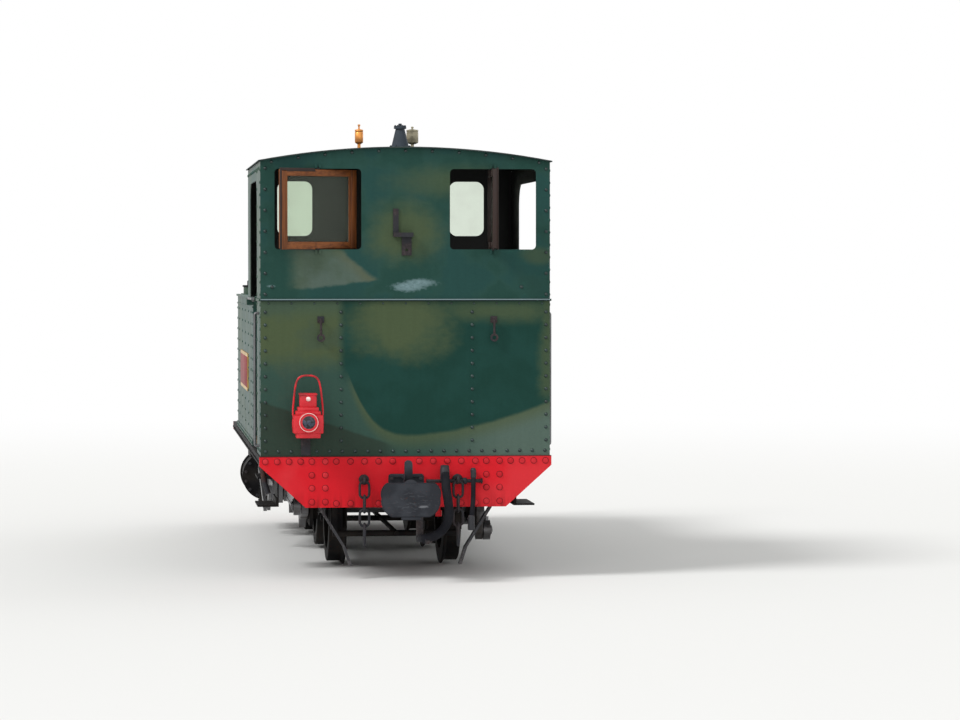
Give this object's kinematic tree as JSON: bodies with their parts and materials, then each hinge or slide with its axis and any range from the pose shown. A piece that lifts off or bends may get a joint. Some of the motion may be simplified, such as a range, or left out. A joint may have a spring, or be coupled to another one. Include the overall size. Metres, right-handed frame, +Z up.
{
  "type": "narrow-gauge side-tank steam locomotive",
  "caption": "Narrow-gauge side-tank steam locomotive with outside frames, coupled spoked wheels, full cab and centre buffers.",
  "frame": {"origin": "on the floor under the wheel flanges, at the centre of the overall box", "axes": "+X forward towards the smokebox, +Y left, +Z up"},
  "size_m": [6.524, 2.094, 3.2301],
  "materials": {
    "dark_green_paint": "weathered satin",
    "red_paint": "satin",
    "black_paint": "matt",
    "grey_iron": "rough",
    "bright_steel": "worn",
    "varnished_wood": "varnished",
    "floor_wood": "worn",
    "clear_glass": "clear",
    "copper": "tarnished",
    "brass": "polished",
    "black_rubber": "matt",
    "lamp_red": "gloss"
  },
  "bodies": {
    "locomotive": {"axleboxes": "black_paint", "backhead_fittings": "brass", "boiler": "dark_green_paint", "brake_gear": "black_paint", "cab_floor": "floor_wood", "cab_front_sheet": "dark_green_paint", "cab_left_side": "dark_green_paint", "cab_rear_sheet": "dark_green_paint", "cab_right_side": "dark_green_paint", "cab_roof": "black_paint", "cab_steps": "black_paint", "chimney": "black_paint", "coal_bunker": "black_paint", "combination_levers": "bright_steel", "connecting_rods": "bright_steel", "couplers": "grey_iron", "crossheads": "bright_steel", "cylinders": "black_paint", "eccentric_rods": "bright_steel", "expansion_links": "bright_steel", "frame_plates": "black_paint", "frame_stretchers": "black_paint", "front_buffer_beam": "red_paint", "guard_irons": "black_paint", "handrails": "bright_steel", "hoses": "black_rubber", "lamp_irons": "grey_iron", "leaf_springs": "black_paint", "left_side_tank": "dark_green_paint", "motion_brackets": "black_paint", "nameplates": "red_paint", "overflow_pipe": "copper", "radius_rods": "bright_steel", "rear_buffer_beam": "red_paint", "return_cranks": "bright_steel", "right_side_tank": "dark_green_paint", "roof_vent": "grey_iron", "running_plate": "black_paint", "safety_valves": "brass", "side_chains": "grey_iron", "slide_bars": "bright_steel", "smokebox": "black_paint", "steam_dome": "dark_green_paint", "tail_lamp": "lamp_red", "whistles": "brass", "window_glass": "clear_glass", "window_sashes": "varnished_wood"},
    "rear_wheelset": {"rear_wheels": "black_paint", "rear_axle": "bright_steel"},
    "middle_wheelset": {"middle_wheels": "black_paint", "middle_axle": "bright_steel"},
    "front_wheelset": {"front_wheels": "black_paint", "front_axle": "bright_steel"},
    "left_coupling_rod": {"left_coupling_rod": "bright_steel"},
    "right_coupling_rod": {"right_coupling_rod": "bright_steel"},
    "smokebox_door": {"smokebox_door": "black_paint"},
    "left_filler_lid": {"left_filler_lid": "black_paint"},
    "right_filler_lid": {"right_filler_lid": "black_paint"},
    "left_doorway_bar": {"left_doorway_bar": "bright_steel"},
    "right_doorway_bar": {"right_doorway_bar": "bright_steel"}
  },
  "joints": [
    {"name": "rear_wheelset_spin", "type": "hinge", "parent": "locomotive", "child": "rear_wheelset", "pos_m": [-1.486, 0, 0.444], "axis": [0, 1, 0], "continuous": true},
    {"name": "middle_wheelset_spin", "type": "hinge", "parent": "locomotive", "child": "middle_wheelset", "pos_m": [0.038, 0, 0.444], "axis": [0, 1, 0], "continuous": true},
    {"name": "front_wheelset_spin", "type": "hinge", "parent": "locomotive", "child": "front_wheelset", "pos_m": [1.562, 0, 0.444], "axis": [0, 1, 0], "continuous": true},
    {"name": "left_rod_pivot", "type": "hinge", "parent": "middle_wheelset", "child": "left_coupling_rod", "pos_m": [-0.165, 0.7, 0.444], "axis": [0, 1, 0], "continuous": true},
    {"name": "right_rod_pivot", "type": "hinge", "parent": "middle_wheelset", "child": "right_coupling_rod", "pos_m": [0.038, -0.7, 0.241], "axis": [0, 1, 0], "continuous": true},
    {"name": "smokebox_door_hinge", "type": "hinge", "parent": "locomotive", "child": "smokebox_door", "pos_m": [2.522, 0.452, 1.505], "axis": [0, 0, 1], "range_deg": [0, 110]},
    {"name": "left_filler_lid_hinge", "type": "hinge", "parent": "locomotive", "child": "left_filler_lid", "pos_m": [1.568, 0.644, 2.0153], "axis": [1, 0, 0], "range_deg": [0, 100]},
    {"name": "right_filler_lid_hinge", "type": "hinge", "parent": "locomotive", "child": "right_filler_lid", "pos_m": [1.568, -0.644, 2.0153], "axis": [-1, 0, 0], "range_deg": [0, 100]},
    {"name": "left_doorway_bar_hinge", "type": "hinge", "parent": "locomotive", "child": "left_doorway_bar", "pos_m": [-2.22, 1.034, 1.94], "axis": [0, -1, 0], "range_deg": [0, 90]},
    {"name": "right_doorway_bar_hinge", "type": "hinge", "parent": "locomotive", "child": "right_doorway_bar", "pos_m": [-2.22, -1.034, 1.94], "axis": [0, -1, 0], "range_deg": [0, 90]}
  ],
  "couplings": [
    {"joint": "rear_wheelset_spin", "follows": "middle_wheelset_spin", "ratio": 1},
    {"joint": "front_wheelset_spin", "follows": "middle_wheelset_spin", "ratio": 1},
    {"joint": "left_rod_pivot", "follows": "middle_wheelset_spin", "ratio": -1},
    {"joint": "right_rod_pivot", "follows": "middle_wheelset_spin", "ratio": -1}
  ]
}
